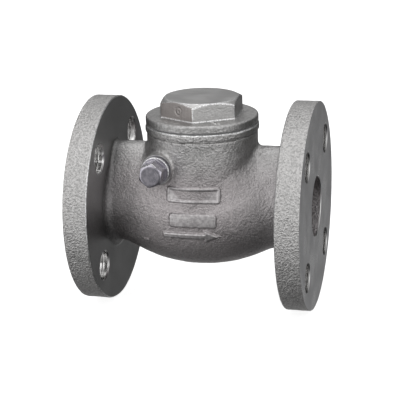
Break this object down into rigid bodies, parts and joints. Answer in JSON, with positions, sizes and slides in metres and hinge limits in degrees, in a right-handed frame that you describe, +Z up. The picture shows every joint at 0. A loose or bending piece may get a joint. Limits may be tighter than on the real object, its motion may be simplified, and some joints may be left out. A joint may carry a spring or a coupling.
{
  "type": "flanged swing check valve",
  "caption": "Cast stainless swing check valve: flanged ends, screwed hexagon cap and a hinged disc that lets flow pass one way.",
  "frame": {"origin": "centre of the inlet flange's face, on the pipe axis", "axes": "+X along the pipe in the direction of flow, +Z up the neck, the pin plug looks along -Y"},
  "size_m": [0.1535, 0.14, 0.1428],
  "materials": {
    "cast_stainless": "pebbled investment casting, acid-cleaned, matt",
    "cap_stainless": "smooth casting with ground hexagon",
    "machined_stainless": "turned, lightly polished",
    "gasket": "dark graphite sheet"
  },
  "bodies": {
    "housing": {"body": "cast_stainless", "cap": "cap_stainless", "cap_gasket": "gasket", "pin_plug": "machined_stainless", "pin_plug_gasket": "gasket", "hinge_pin": "machined_stainless"},
    "arm": {"swing_arm": "cast_stainless"},
    "flap": {"disc": "machined_stainless", "disc_washer": "machined_stainless", "disc_nut": "machined_stainless", "split_pin": "machined_stainless"}
  },
  "joints": [
    {"name": "arm_swing", "type": "hinge", "parent": "housing", "child": "arm", "pos_m": [0.05445, 0, 0.031], "axis": [0, -1, 0], "range_deg": [0, 60]},
    {"name": "disc_spin", "type": "hinge", "parent": "arm", "child": "flap", "pos_m": [0.05814, 0, 0.00097], "axis": [0.9925, 0, 0.1219], "continuous": true}
  ]
}
